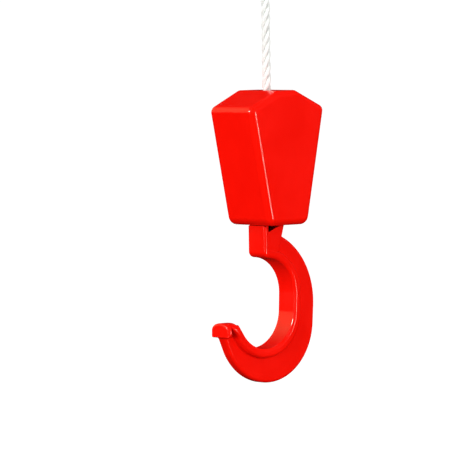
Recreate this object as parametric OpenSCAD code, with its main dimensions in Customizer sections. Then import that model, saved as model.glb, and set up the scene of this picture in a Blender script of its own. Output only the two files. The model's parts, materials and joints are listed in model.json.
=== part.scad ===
// Toy crane hook block on a laid cord.
// The crane's hoist cord enters the top of a weighted block, and a hook swivels under the block.
// Origin: the free end of the cord. +Z up along the cord, -Y towards the block's closed front.

/* [Block] */
// Width of the block across its shoulders, mm
block_w = 33; // [31:0.5:36]
// Width of the flat top, where the cord comes out, mm
top_w = 8.3; // [7.5:0.1:10]
// Width of the underside, mm
foot_w = 17.3; // [16.6:0.1:19]
// Depth of the block, front to rear, mm
block_d = 21.2; // [20.6:0.1:23]
// Height of the block, mm
block_h = 44; // [43:0.5:48]
// Drop from the flat top to the shoulders, mm
shoulder_drop = 5.7; // [5:0.1:6.5]
// Radius of every outer edge of the block, mm
edge_r = 2.2; // [1.6:0.1:2.3]
// Wall thickness of the moulded shell, mm
wall = 2.4; // [2:0.1:2.5]
// Thickness of the rear cover's plate, mm
cover_t = 2.2; // [1.8:0.1:2.4]

/* [Cord] */
// Diameter of the cord, mm
cord_d = 3; // [2.8:0.1:3.2]
// Length of cord above the block, mm
cord_len = 36; // [20:1:200]
// Height above the block of the lower of the two places where the cord bends, mm
bend_low = 2.2; // [2.2:0.1:3]
// Height above the block of the upper place where the cord bends, mm
bend_high = 6.6; // [6:0.1:12]

/* [Hook] */
// Depth of the hook's flange, front to rear, mm
flange_d = 8.5; // [8:0.1:10]
// Thickness of the flange, measured in the hook's plane, mm
flange_t = 3; // [2.5:0.1:3.2]
// Thickness of the web behind the flange, front to rear, mm
web_t = 3.9; // [3:0.1:4.5]
// Radius of the bowl that carries the load, mm
bowl_r = 12.2; // [11.8:0.1:12.7]
// Radius of the inner curve above the bowl, mm
crook_r = 12; // [11.7:0.1:12.3]
// Radius of the hook's outer curve round the bottom, mm
belly_r = 19.8; // [19.4:0.1:20.4]
// Radius of the hook's back, mm
back_r = 24.1; // [23.8:0.1:24.6]

/* [Fits] */
// Radius of the hook's round journal in the block's underside, mm
journal_r = 3.2; // [3:0.1:3.4]
// Radial clearance of a turning fit, mm
turn_gap = 0.05; // [0.03:0.01:0.08]
// Clearance round pieces that only have to go together, mm
fit_gap = 0.1; // [0.05:0.05:0.15]

/* [Hidden] */
$fn = 64;
tiny = 0.01;

cord_r = cord_d / 2;
front_y = -block_d / 2;
rear_y = block_d / 2;
cover_y = rear_y - cover_t;

// Slopes of the block's outline: top chamfer from the horizontal, side from the vertical
chamfer_a = atan2(shoulder_drop, (block_w - top_w) / 2);
side_a = atan2((block_w - foot_w) / 2, block_h - shoulder_drop);

// Cord inside the block
cord_boss_r = 4.6;
cord_boss_z = -3.6;
cord_washer_r = 4;
cord_washer_t = 0.8;
knot_r = 3.7;
knot_z = cord_boss_z - cord_washer_t - knot_r;
cord_tail_z = -13.6;

// Cover screws: two under the shoulders and one above the hook's head
screw_head_r = 2.5;
screw_head_t = 1.5;
screw_r = 1.2;
screw_len = 8.6;
screw_at = [[9.2, -9.8], [-9.2, -9.8], [0, -35]];
well_r = 2.8;
well_wall = 1;
well_depth = 3.2;
well_seat_y = rear_y - well_depth;
well_floor = 1.4;
boss_r = 2.6;
boss_bore_r = 1.25;
boss_y = well_seat_y - well_floor - fit_gap;

// Ballast, held between the shell's shelves, the wells and the cover
ballast_top = -14.6;
ballast_foot = -30.4;
ballast_side_gap = 0.5;
pad_t = 1;
shelf_t = 1.2;
shelf_in_x = 4.4;

// Hook's head on the floor of the block
floor_z = -block_h + wall;
head_r = 6;
head_t = 1.8;
swivel_washer_t = 0.45;
swivel_washer_r = 5.6;
head_z = floor_z + swivel_washer_t + fit_gap;
keeper_z = head_z + head_t + 2 * fit_gap;
keeper_t = 1.3;

// Hook's outline in its own plane: x across the block, y up, from the block's underside
neck_top = -0.35;
neck_left = -5.5;
neck_right = 3.4;
rib_t = 1.6;
rib_foot = [0.85, -9];
rib_foot_w = 1.9;
rib_foot_drop = 0.5;
crook_c = [-4.3, -22.7];
bowl_c = [-4.7, -28.2];
back_c = [-5.6, -25.9];
belly_c = [-1.7, -32];
corner_r = 2;
flange_start_a = 88;
back_start_a = 70;
belly_end_a = -152;

// Gusset that fills the neck between its ribs, but for a pocket under the block
gusset_relief = 0.1;
gusset_foot = -9.6;
pocket_left = -3.66;
pocket_right = 1.3;
pocket_foot = -2.2;

// Lip: the flange runs straight off the bowl, turns over the top and comes down outside the web
lip_a = -145;
lip_len = 4.2;
lip_top = -30.9;
lip_x = -22.1;
lip_drop = 4.95;
lip_t = 2;
lip_edge_r = 0.9;
lip_crown_r = 6.2;
step_a = 4;

// Corners of the block's outline, moved inwards by the distance d: right half, top to foot
function half_outline(d) =
    let (k = tan(chamfer_a), m = tan(side_a))
    let (sx = (block_w / 2 + shoulder_drop * m - d / cos(side_a) + m * k * top_w / 2
               - m * d / cos(chamfer_a)) / (1 + m * k))
    let (sz = -(sx - top_w / 2) * k - d / cos(chamfer_a))
    [[top_w / 2 - d * tan(chamfer_a / 2), -d],
     [sx, sz],
     [foot_w / 2 - d * tan(45 - side_a / 2), -block_h + d]];

function mirrored(points) = [for (i = [len(points) - 1 : -1 : 0]) [-points[i].x, points[i].y]];
function outline(d) = concat(half_outline(d), mirrored(half_outline(d)));

// Half width inside the shell at height z below the shoulders
function inner_half(z) = block_w / 2 - (-z - shoulder_drop) * tan(side_a) - wall / cos(side_a);

// Points round an arc, and the angle at which two arcs share a tangent on their right
function arc(c, r, from, to) =
    let (n = ceil(abs(to - from) / step_a))
    [for (i = [0 : n]) let (a = from + (to - from) * i / n) c + r * [cos(a), sin(a)]];
function tangent_a(c1, r1, c2, r2) =
    let (d = c2 - c1)
    atan2(d.y, d.x) + acos((r1 - r2) / norm(d));

// The hook's inner curve, grown outwards by g: crook, bowl, then straight on by len
function inner_curve(g, len) =
    let (t = tangent_a(crook_c, crook_r, bowl_c, bowl_r))
    let (foot = bowl_c + (bowl_r + g) * [cos(lip_a), sin(lip_a)])
    concat(arc(crook_c, crook_r + g, flange_start_a, t),
           arc(bowl_c, bowl_r + g, t, lip_a),
           [foot + len * [sin(lip_a), -cos(lip_a)]]);

// The hook's back and belly, from the lip's foot up to the neck
function outer_curve() =
    let (t = tangent_a(back_c, back_r, belly_c, belly_r))
    concat([[lip_x + lip_t / 4, lip_top - lip_drop]],
           arc(belly_c, belly_r, belly_end_a, t),
           arc(back_c, back_r, t, back_start_a));

function reversed(points) = [for (i = [len(points) - 1 : -1 : 0]) points[i]];

// Moves pieces drawn from the block's top centre, or from its underside, to their place
module in_block() translate([0, 0, -cord_len]) children();
module under_block() translate([0, 0, -cord_len - block_h]) children();

// A plate drawn in the block's front plane, between two depths
module plate(y0, y1) translate([0, y1, 0]) rotate([90, 0, 0]) linear_extrude(y1 - y0) children();
module centred_plate(d) plate(-d / 2, d / 2) children();

// A round bar along Y, between two depths, at the point p of the block's front plane
module bar(p, r, y0, y1) translate([p.x, y1, p.y]) rotate([90, 0, 0]) cylinder(r = r, h = y1 - y0);

// ---- Cord ----

module hoist_cord() {
    foot = bend_high + cord_r + fit_gap;
    color("white") in_block() translate([0, 0, foot]) cylinder(r = cord_r, h = cord_len - foot);
}

// Short length that bends at both ends
module cord_link() {
    color("white") in_block() {
        translate([0, 0, bend_low]) sphere(cord_r);
        translate([0, 0, bend_low]) cylinder(r = cord_r, h = bend_high - bend_low);
        translate([0, 0, bend_high]) sphere(cord_r);
    }
}

// Cord in the block's hole, the stopper knot and the cut tail
module cord_knot() {
    mouth = bend_low - cord_r - fit_gap;
    color("white") in_block() {
        translate([0, 0, cord_tail_z]) cylinder(r = cord_r, h = mouth - cord_tail_z);
        translate([0, 0, knot_z]) sphere(knot_r - fit_gap);
    }
}

module cord_washer() {
    color("silver") in_block() translate([0, 0, cord_boss_z - cord_washer_t]) difference() {
        cylinder(r = cord_washer_r, h = cord_washer_t - tiny);
        translate([0, 0, -1]) cylinder(r = cord_r + 2 * fit_gap, h = cord_washer_t + 2);
    }
}

// ---- Block ----

module rounded_block() {
    hull()
        for (p = outline(edge_r), y = [front_y + edge_r, rear_y - edge_r])
            translate([p.x, y, p.y]) sphere(edge_r, $fn = 32);
}

// Slot in the floor, open to the rear, that lets the hook's journal slide in
module floor_slot(r) {
    translate([0, 0, -block_h - 1]) cylinder(r = r, h = wall + 2);
    translate([-r, 0, -block_h - 1]) cube([2 * r, block_d, wall + 2]);
}

// Shelves that carry the ballast, and the keeper over the hook's head
module shell_ribs() {
    intersection() {
        plate(front_y + 1, cover_y - fit_gap) polygon(outline(1));
        union() {
            for (s = [0, 1])
                mirror([s, 0, 0]) translate([shelf_in_x, front_y, ballast_foot - shelf_t - fit_gap])
                    cube([block_w / 2, boss_y - front_y, shelf_t]);
            translate([-block_w / 2, front_y, keeper_z]) cube([block_w, boss_y - front_y, keeper_t]);
        }
    }
}

module front_shell() {
    color("red") in_block() difference() {
        union() {
            difference() {
                rounded_block();
                plate(front_y + wall, rear_y + 1) polygon(outline(wall));
            }
            shell_ribs();
            for (p = screw_at) bar(p, boss_r, front_y + wall - tiny, boss_y);
            translate([0, 0, cord_boss_z]) cylinder(r = cord_boss_r, h = -cord_boss_z - wall / 2);
        }
        for (p = screw_at) bar(p, boss_bore_r, boss_y - screw_len, boss_y + 1);
        translate([0, 0, cord_boss_z - 1]) cylinder(r = cord_r + turn_gap, h = 2 - cord_boss_z);
        floor_slot(journal_r + turn_gap);
    }
}

// Tongue that closes the floor slot behind the hook's journal
module cover_tongue() {
    r = journal_r + turn_gap - fit_gap;
    z0 = -block_h;
    difference() {
        translate([-r, 0, 0]) rotate([90, 0, 90]) linear_extrude(2 * r) union() {
            translate([0, z0]) square([rear_y - edge_r, wall - fit_gap]);
            translate([cover_y, z0 + edge_r]) square([cover_t, wall]);
            translate([rear_y - edge_r, z0 + edge_r]) circle(edge_r);
        }
        translate([0, 0, z0 - 1]) cylinder(r = journal_r + turn_gap, h = wall + 2);
    }
}

module rear_cover() {
    color("red") in_block() difference() {
        union() {
            plate(cover_y, rear_y) polygon(outline(wall + fit_gap));
            for (p = screw_at) bar(p, well_r + well_wall, well_seat_y - well_floor, rear_y);
            cover_tongue();
        }
        for (p = screw_at) {
            bar(p, well_r, well_seat_y, rear_y + 1);
            bar(p, screw_r + fit_gap, well_seat_y - well_floor - 1, rear_y);
        }
    }
}

// Cross-head screws, driven from the rear
module cover_screws() {
    slot_w = 0.7;
    slot_l = 2.8;
    slot_d = 0.8;
    color("silver") in_block() for (p = screw_at) difference() {
        union() {
            bar(p, screw_head_r, well_seat_y + tiny, well_seat_y + screw_head_t);
            bar(p, screw_r, well_seat_y - screw_len, well_seat_y + screw_head_t / 2);
        }
        for (a = [0, 90])
            translate([p.x, well_seat_y + screw_head_t - slot_d, p.y]) rotate([0, a, 0])
                translate([-slot_l / 2, 0, -slot_w / 2]) cube([slot_l, slot_d + 1, slot_w]);
    }
}

module ballast_weight() {
    top_x = inner_half(ballast_top) - ballast_side_gap;
    foot_x = inner_half(ballast_foot) - ballast_side_gap;
    y0 = front_y + wall + fit_gap;
    color("dimgray") in_block() plate(y0, cover_y - pad_t - fit_gap)
        polygon([[-top_x, ballast_top], [top_x, ballast_top],
                 [foot_x, ballast_foot], [-foot_x, ballast_foot]]);
}

// Foam pad that stops the ballast rattling against the cover
module ballast_pad() {
    w = 14;
    margin = 2;
    color("black") in_block()
        translate([-w / 2, cover_y - pad_t, ballast_foot + margin])
            cube([w, pad_t - tiny, ballast_top - ballast_foot - 2 * margin]);
}

// ---- Hook ----

module swivel_washer() {
    color("white") in_block() translate([0, 0, floor_z + tiny]) difference() {
        cylinder(r = swivel_washer_r, h = swivel_washer_t);
        translate([0, 0, -1]) cylinder(r = journal_r + fit_gap, h = swivel_washer_t + 2);
    }
}

// Neck's left rib, flange along the inner curve, and the lip that turns down outside the web
module flange_outline() {
    corner = [neck_left + corner_r, crook_c.y + crook_r + corner_r];
    inside = inner_curve(0, lip_len);
    end = inside[len(inside) - 1];
    lip_foot = lip_top - lip_drop;
    turn_len = (bowl_c.x + (bowl_r + flange_t) * cos(lip_a) - lip_x - lip_t) / -sin(lip_a);
    polygon(concat(
        [[neck_left + rib_t, neck_top], [neck_left, neck_top]],
        arc(corner, corner_r, 180, 255),
        inside,
        arc([end.x - lip_edge_r, lip_top - lip_edge_r], lip_edge_r, 45, 90),
        arc([lip_x + lip_edge_r, lip_top - lip_edge_r], lip_edge_r, 90, 180),
        [[lip_x, lip_foot], [lip_x + lip_t, lip_foot]],
        reversed(inner_curve(flange_t, turn_len)),
        [[neck_left + rib_t, crook_c.y + crook_r + flange_t]]));
}

// Web from inside the flange out to the hook's back and belly, and up between the neck's ribs
module web_outline() {
    g = flange_t / 2;
    polygon(concat(
        [[neck_left + g, neck_top], [neck_left + g, crook_c.y + crook_r + g]],
        inner_curve(g, lip_len / 2),
        [[lip_x + lip_t / 2, lip_top - g]],
        outer_curve(),
        [rib_foot, [neck_right - tiny, neck_top]]));
}

// Rib on the neck's right, from the block down to the flange
module rib_outline() {
    polygon([[neck_right, neck_top], rib_foot, rib_foot - [rib_foot_w, rib_foot_drop],
             [neck_right - rib_t, neck_top]]);
}

// Gusset between the ribs; the pocket's slanted floor runs from its left foot up to the block
module gusset_outline() {
    left = neck_left + rib_t / 2;
    polygon([[left, neck_top], [left, gusset_foot], [rib_foot.x - rib_foot_w / 2, gusset_foot],
             [neck_right - rib_t / 2, neck_top], [pocket_right, neck_top], [pocket_left, pocket_foot],
             [pocket_left, neck_top]]);
}

// What is cut away to crown the lip, so that its top is lower at the front and rear than in the middle
module lip_crown() {
    len = 5;
    depth = lip_crown_r - sqrt(pow(lip_crown_r, 2) - pow(flange_d / 2, 2));
    difference() {
        translate([lip_x - 1, -flange_d, lip_top - depth]) cube([len, 2 * flange_d, 2 * depth]);
        translate([lip_x - 2, 0, lip_top - lip_crown_r]) rotate([0, 90, 0])
            cylinder(r = lip_crown_r, h = len + 2);
    }
}

module hook() {
    color("red") {
        under_block() {
            centred_plate(web_t) web_outline();
            centred_plate(flange_d) rib_outline();
            centred_plate(flange_d - 2 * gusset_relief) gusset_outline();
            difference() {
                centred_plate(flange_d) flange_outline();
                lip_crown();
            }
            translate([0, 0, neck_top - tiny])
                cylinder(r = journal_r, h = wall - neck_top + swivel_washer_t + head_t / 2);
        }
        in_block() translate([0, 0, head_z]) cylinder(r = head_r, h = head_t);
    }
}

hoist_cord();
cord_link();
cord_knot();
cord_washer();
front_shell();
rear_cover();
cover_screws();
ballast_weight();
ballast_pad();
swivel_washer();
hook();
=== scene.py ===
import json
import math

import bmesh
import bpy
import numpy as np
from mathutils import Matrix, Vector


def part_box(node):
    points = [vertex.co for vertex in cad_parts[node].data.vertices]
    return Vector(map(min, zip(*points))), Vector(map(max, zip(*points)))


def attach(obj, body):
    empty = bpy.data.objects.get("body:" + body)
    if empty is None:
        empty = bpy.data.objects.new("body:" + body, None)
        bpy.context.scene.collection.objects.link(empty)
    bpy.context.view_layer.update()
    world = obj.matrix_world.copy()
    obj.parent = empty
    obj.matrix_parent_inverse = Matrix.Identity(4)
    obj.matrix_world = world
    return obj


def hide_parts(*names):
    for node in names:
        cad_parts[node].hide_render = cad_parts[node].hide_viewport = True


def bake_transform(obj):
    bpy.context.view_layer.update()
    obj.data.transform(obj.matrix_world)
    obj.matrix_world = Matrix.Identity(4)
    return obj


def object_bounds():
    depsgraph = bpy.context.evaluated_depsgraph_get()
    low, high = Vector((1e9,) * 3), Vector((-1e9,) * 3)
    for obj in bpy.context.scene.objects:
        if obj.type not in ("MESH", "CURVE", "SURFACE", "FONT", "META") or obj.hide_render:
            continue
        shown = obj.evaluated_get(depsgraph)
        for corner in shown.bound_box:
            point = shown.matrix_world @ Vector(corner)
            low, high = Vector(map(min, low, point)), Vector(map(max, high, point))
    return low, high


# Looks of the toy crane hook block. Lengths of shapes are millimetres; those of materials, lights and
# the camera are metres.

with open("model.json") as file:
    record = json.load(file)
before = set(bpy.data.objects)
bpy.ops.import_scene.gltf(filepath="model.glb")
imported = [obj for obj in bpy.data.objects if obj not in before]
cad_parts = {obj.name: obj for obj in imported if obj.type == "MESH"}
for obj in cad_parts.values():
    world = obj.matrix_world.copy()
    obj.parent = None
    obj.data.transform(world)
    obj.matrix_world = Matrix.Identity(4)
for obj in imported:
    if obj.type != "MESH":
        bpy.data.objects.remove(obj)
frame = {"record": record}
cad_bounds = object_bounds()

MM = 0.001
BEHAVIOUR = frame["record"]["behaviour"]


def cad_box(node):
    """Lowest and highest corner of a CAD node, in millimetres."""
    low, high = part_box(node)
    return np.array(low) / MM, np.array(high) / MM


def joint_height(name):
    joint = next(j for j in BEHAVIOUR["joints"] if j["name"] == name)
    return joint["pos_m"][2] / MM


# ---- Places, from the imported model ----

shell_low, shell_high = cad_box("front_shell")
cord_low, cord_high = cad_box("hoist_cord")
TOP = shell_high[2]
FOOT = shell_low[2]
FRONT = shell_low[1]
REAR = shell_high[1]
BEND_HIGH = joint_height("fore_swing")
BEND_LOW = joint_height("side_swing")

# ---- Sizes of the block, as the CAD has them ----

BLOCK_W = 33.0
TOP_W = 8.3
FOOT_W = 17.3
BLOCK_H = TOP - FOOT
SHOULDER_DROP = 5.7
EDGE_R = 2.2
FOOT_EXTRA_R = 0.9
WALL = 2.4
COVER_T = 2.2
COVER_Y = REAR - COVER_T
GAP = 0.1
TURN_GAP = 0.05
LEAD_IN = 0.4
RIB_START = 1.0
SHELF_X = (4.4, 16.0)
SHELF_Z = (-31.7, -30.5)
KEEPER_X = 14
KEEPER_Z = (5.35, 6.65)
SCREW_AT = [(9.2, -9.8), (-9.2, -9.8), (0.0, -35.0)]
SCREW_LEN = 8.6
SCREW_HOLE_R = 1.3
PILOT_R = 1.25
PILOT_MOUTH_R = 1.65
WELL_R = 2.8
WELL_WALL = 1.0
WELL_RIM_R = 0.35
WELL_FILLET = 0.15
WELL_SEAT = REAR - 3.2
WELL_FLOOR = 1.4
BOSS_R = 2.6
BOSS_FRONT = FRONT + 1.4
BOSS_Y = WELL_SEAT - WELL_FLOOR - GAP
CORD_R = (cord_high[0] - cord_low[0]) / 2
CORD_BOSS_R = 4.6
CORD_BOSS_LOW = -3.6
CORD_BOSS_HIGH = -1.2
CORD_MOUTH_R = 0.6
WASHER_T = 0.8
KNOT_R = 3.7
JOURNAL_R = 3.2

CHAMFER = math.atan2(SHOULDER_DROP, (BLOCK_W - TOP_W) / 2)
SIDE = math.atan2((BLOCK_W - FOOT_W) / 2, BLOCK_H - SHOULDER_DROP)


# ---- Mesh helpers ----

POINT_GAP = 1e-7
TINY_R = 1e-4


def link(obj):
    bpy.context.scene.collection.objects.link(obj)
    return obj


def make(name, points, faces):
    """A mesh object from points in millimetres."""
    mesh = bpy.data.meshes.new(name)
    mesh.from_pydata((np.asarray(points, float) * MM).tolist(), [], [list(map(int, f)) for f in faces])
    mesh.validate()
    obj = link(bpy.data.objects.new(name, mesh))
    clean(obj)
    return obj


def clean(obj, distance=POINT_GAP):
    """Merges doubled points and turns every face outwards."""
    bm = bmesh.new()
    bm.from_mesh(obj.data)
    bmesh.ops.remove_doubles(bm, verts=bm.verts, dist=distance)
    bmesh.ops.dissolve_degenerate(bm, dist=distance, edges=bm.edges)
    bmesh.ops.recalc_face_normals(bm, faces=bm.faces)
    bm.to_mesh(obj.data)
    bm.free()
    return obj


def quarter(steps):
    """Angles from nothing to a right angle."""
    return [math.radians(90) * k / steps for k in range(steps + 1)]


def loft(rings):
    """Closed skin over rings of equal length, capped at both ends."""
    n = len(rings[0])
    points = np.concatenate([np.asarray(r, float) for r in rings])
    faces = []
    for k in range(len(rings) - 1):
        for i in range(n):
            j = (i + 1) % n
            faces.append((k * n + i, k * n + j, (k + 1) * n + j, (k + 1) * n + i))
    faces.append(tuple(range(n - 1, -1, -1)))
    faces.append(tuple((len(rings) - 1) * n + i for i in range(n)))
    return points, faces


def bake(obj):
    """Applies the modifiers of obj to its mesh."""
    graph = bpy.context.evaluated_depsgraph_get()
    graph.update()
    mesh = bpy.data.meshes.new_from_object(obj.evaluated_get(graph))
    obj.modifiers.clear()
    old = obj.data
    obj.data = mesh
    bpy.data.meshes.remove(old)
    return obj


def combine(obj, tools, operation):
    """Boolean of obj with each tool in turn. The tools are used up."""
    for tool in tools:
        modifier = obj.modifiers.new("combine", "BOOLEAN")
        modifier.operation = operation
        modifier.object = tool
        modifier.solver = "MANIFOLD"
        bake(obj)
        bpy.data.objects.remove(tool)
    return obj


def shade(obj, angle=32):
    """Smooth shading that keeps flat faces flat and creases above the angle crisp."""
    mesh = obj.data
    mesh.polygons.foreach_set("use_smooth", [True] * len(mesh.polygons))
    mesh.set_sharp_from_angle(angle=math.radians(angle))
    modifier = obj.modifiers.new("even normals", "WEIGHTED_NORMAL")
    modifier.keep_sharp = True
    modifier.weight = 90
    return obj


def join(name, objects):
    """One object from several."""
    bm = bmesh.new()
    for o in objects:
        bm.from_mesh(o.data)
        bpy.data.objects.remove(o)
    mesh = bpy.data.meshes.new(name)
    bm.to_mesh(mesh)
    bm.free()
    return link(bpy.data.objects.new(name, mesh))


# ---- Outline of the block ----

def half_outline(d):
    """Right half of the block's outline, moved inwards by d: top corner, shoulder, foot corner."""
    k = math.tan(CHAMFER)
    m = math.tan(SIDE)
    shoulder_x = (BLOCK_W / 2 + SHOULDER_DROP * m - d / math.cos(SIDE) + m * k * TOP_W / 2
                  - m * d / math.cos(CHAMFER)) / (1 + m * k)
    shoulder_z = -(shoulder_x - TOP_W / 2) * k - d / math.cos(CHAMFER)
    return [(TOP_W / 2 - d * math.tan(CHAMFER / 2), -d),
            (shoulder_x, shoulder_z),
            (FOOT_W / 2 - d * math.tan(math.radians(45) - SIDE / 2), -BLOCK_H + d)]


def outline(d):
    half = half_outline(d)
    return np.array(half + [(-x, z) for x, z in reversed(half)])


def block_ring(inset, r, y, foot_r, steps=10):
    """Outline at depth y, inset inside the outer faces. Its corners have radius r, foot_r at the foot."""
    n = len(outline(0))
    ring = []
    for i in range(n):
        corner_r = foot_r if i in (2, 3) else r
        corners = outline(inset + corner_r)
        before = corners[i] - corners[i - 1]
        after = corners[(i + 1) % n] - corners[i]
        a0 = math.atan2(before[0], -before[1])
        a1 = math.atan2(after[0], -after[1])
        turn = (a1 - a0 + math.pi) % (2 * math.pi) - math.pi
        for k in range(steps + 1):
            a = a0 + turn * k / steps
            x, z = corners[i] + corner_r * np.array([math.cos(a), math.sin(a)])
            ring.append((x, y, TOP + z))
    return ring


def block_solid(name, inset, corner_r, y0, y1, round0=0.0, round1=0.0, foot_extra=0.0, steps=8):
    """Prism on the block's outline between two depths, its front and rear edges rounded."""
    rings = []
    for y, r, sign in ((y0, round0, 1), (y1, round1, -1)):
        angles = quarter(steps) if r > 0 else [0.0]
        part = [(r * (1 - math.sin(a)), y + sign * r * (1 - math.cos(a))) for a in angles]
        rings.extend(part if sign > 0 else reversed(part))
    skin = []
    for d, y in rings:
        r = max(corner_r - d, TINY_R)
        skin.append(block_ring(inset + d, r, y, r + foot_extra))
    return make(name, *loft(skin))


def lathe(name, profile, centre, axis, segments=48):
    """Solid of revolution. The profile is (radius, distance along the axis); the axis is y or z."""
    rings = []
    for r, h in profile:
        ring = []
        for i in range(segments):
            a = 2 * math.pi * i / segments
            u = max(r, TINY_R) * math.cos(a)
            v = max(r, TINY_R) * math.sin(a)
            offset = (u, h, v) if axis == "y" else (u, v, h)
            ring.append(np.array(centre) + offset)
        rings.append(ring)
    return make(name, *loft(rings))


def rounded_profile(r_out, h0, h1, edge, steps=5):
    """Profile of a disc with rounded outer edges."""
    lower = [(r_out - edge + edge * math.sin(a), h0 + edge - edge * math.cos(a)) for a in quarter(steps)]
    upper = [(r_out - edge + edge * math.cos(a), h1 - edge + edge * math.sin(a)) for a in quarter(steps)]
    return [(0, h0)] + lower + upper + [(0, h1)]


def box(name, low, high):
    """Plain tool for a boolean."""
    (x0, y0, z0), (x1, y1, z1) = low, high
    bottom = [(x0, y0, z0), (x1, y0, z0), (x1, y1, z0), (x0, y1, z0)]
    top = [(x, y, z1) for x, y, z in bottom]
    return make(name, *loft([bottom, top]))


def journal_way():
    """Tool for the hole of the hook's journal, with a lead-in at its mouth."""
    r = JOURNAL_R + TURN_GAP
    profile = [(0, -1), (r + LEAD_IN, -1), (r + LEAD_IN, 0), (r, LEAD_IN), (r, WALL + 1), (0, WALL + 1)]
    return lathe("journal_way", profile, (0, 0, FOOT), "z", 64)


# ---- Block: front shell ----

def build_front_shell():
    shell = block_solid("block_shell", 0.0, EDGE_R, FRONT, REAR, EDGE_R, EDGE_R, FOOT_EXTRA_R, 10)
    cavity = block_solid("cavity", WALL, 0.6, FRONT + WALL, REAR + 4, 0.6)
    combine(shell, [cavity], "DIFFERENCE")
    ribs = []
    rib_front = FRONT + RIB_START
    for side in (-1, 1):
        x0, x1 = sorted((side * SHELF_X[0], side * SHELF_X[1]))
        ribs.append(box("shelf", (x0, rib_front, TOP + SHELF_Z[0]), (x1, BOSS_Y, TOP + SHELF_Z[1])))
    keeper_low, keeper_high = FOOT + KEEPER_Z[0], FOOT + KEEPER_Z[1]
    ribs.append(box("keeper", (-KEEPER_X, rib_front, keeper_low), (KEEPER_X, BOSS_Y, keeper_high)))
    rib_limit = block_solid("rib_limit", RIB_START, 0.5, rib_front, COVER_Y - GAP)
    adds = [combine(combine(ribs[0], ribs[1:], "UNION"), [rib_limit], "INTERSECT")]
    for x, z in SCREW_AT:
        boss = [(0, BOSS_FRONT), (BOSS_R, BOSS_FRONT), (BOSS_R, BOSS_Y), (0, BOSS_Y)]
        adds.append(lathe("boss", boss, (x, 0, TOP + z), "y", 40))
    cord_boss = [(0, CORD_BOSS_LOW), (CORD_BOSS_R, CORD_BOSS_LOW), (CORD_BOSS_R, CORD_BOSS_HIGH),
                 (0, CORD_BOSS_HIGH)]
    adds.append(lathe("cord_boss", cord_boss, (0, 0, TOP), "z", 56))
    combine(shell, adds, "UNION")
    cuts = []
    for x, z in SCREW_AT:
        pilot = [(0, BOSS_Y - SCREW_LEN), (PILOT_R, BOSS_Y - SCREW_LEN), (PILOT_R, BOSS_Y - 0.3),
                 (PILOT_MOUTH_R, BOSS_Y + 0.1), (PILOT_MOUTH_R, BOSS_Y + 1), (0, BOSS_Y + 1)]
        cuts.append(lathe("bore", pilot, (x, 0, TOP + z), "y", 32))
    hole_r = CORD_R + TURN_GAP
    mouth = [(0, CORD_BOSS_LOW - 1), (hole_r, CORD_BOSS_LOW - 1)]
    mouth += [(hole_r + CORD_MOUTH_R * (1 - math.cos(a)), -CORD_MOUTH_R * (1 - math.sin(a)))
              for a in quarter(6)]
    mouth += [(hole_r + CORD_MOUTH_R, 1), (0, 1)]
    cuts.append(lathe("cord_hole", mouth, (0, 0, TOP), "z", 56))
    r = JOURNAL_R + TURN_GAP
    slot_way = box("slot_way", (-r, 0, FOOT - 1), (r, REAR + 1, FOOT + WALL + 1))
    cuts.append(combine(journal_way(), [slot_way], "UNION"))
    combine(shell, cuts, "DIFFERENCE")
    return shade(clean(shell))


# ---- Block: rear cover with its screw wells and the tongue under the hook's journal ----

def build_rear_cover():
    cover = block_solid("block_cover", WALL + GAP, 0.3, COVER_Y, REAR, 0.0, 0.25, steps=4)
    well_r = WELL_R + WELL_WALL
    well_front, well_rear = WELL_SEAT - WELL_FLOOR, REAR - 0.6
    well = [(0, well_front), (well_r, well_front), (well_r, well_rear), (0, well_rear)]
    adds = [lathe("well", well, (x, 0, TOP + z), "y", 56) for x, z in SCREW_AT]
    half = JOURNAL_R + TURN_GAP - GAP
    profile = [(0.0, FOOT), (REAR - EDGE_R, FOOT)]
    profile += [(REAR - EDGE_R * (1 - math.sin(a)), FOOT + EDGE_R * (1 - math.cos(a)))
                for a in quarter(10)[1:]]
    profile += [(REAR, FOOT + WALL + EDGE_R), (COVER_Y, FOOT + WALL + EDGE_R), (COVER_Y, FOOT + WALL - GAP),
                (0.0, FOOT + WALL - GAP)]
    tongue = make("tongue", *loft([[(x, y, z) for y, z in profile] for x in (-half, half)]))
    combine(tongue, [journal_way()], "DIFFERENCE")
    combine(cover, adds + [tongue], "UNION")
    cuts = []
    for x, z in SCREW_AT:
        bore = [(0, WELL_SEAT - WELL_FLOOR - 1), (SCREW_HOLE_R, WELL_SEAT - WELL_FLOOR - 1),
                (SCREW_HOLE_R, WELL_SEAT), (WELL_R - WELL_FILLET, WELL_SEAT),
                (WELL_R, WELL_SEAT + WELL_FILLET)]
        bore += [(WELL_R + WELL_RIM_R * (1 - math.cos(a)), REAR - WELL_RIM_R * (1 - math.sin(a)))
                 for a in quarter(5)]
        bore += [(WELL_R + WELL_RIM_R, REAR + 1), (0, REAR + 1)]
        cuts.append(lathe("well_bore", bore, (x, 0, TOP + z), "y", 56))
    combine(cover, cuts, "DIFFERENCE")
    return shade(clean(cover))


# ---- Cover screws: pan head, cross recess and a cut thread ----

SCREW_HEAD_R = 2.5
SCREW_HEAD_FLAT = 1.3
SCREW_HEAD_SIDE = 0.55
SCREW_HEAD_H = 1.5
SHANK_R = 0.88
SHANK_TOP = 0.2
THREAD_H = 0.32
PITCH = 1.0


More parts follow.
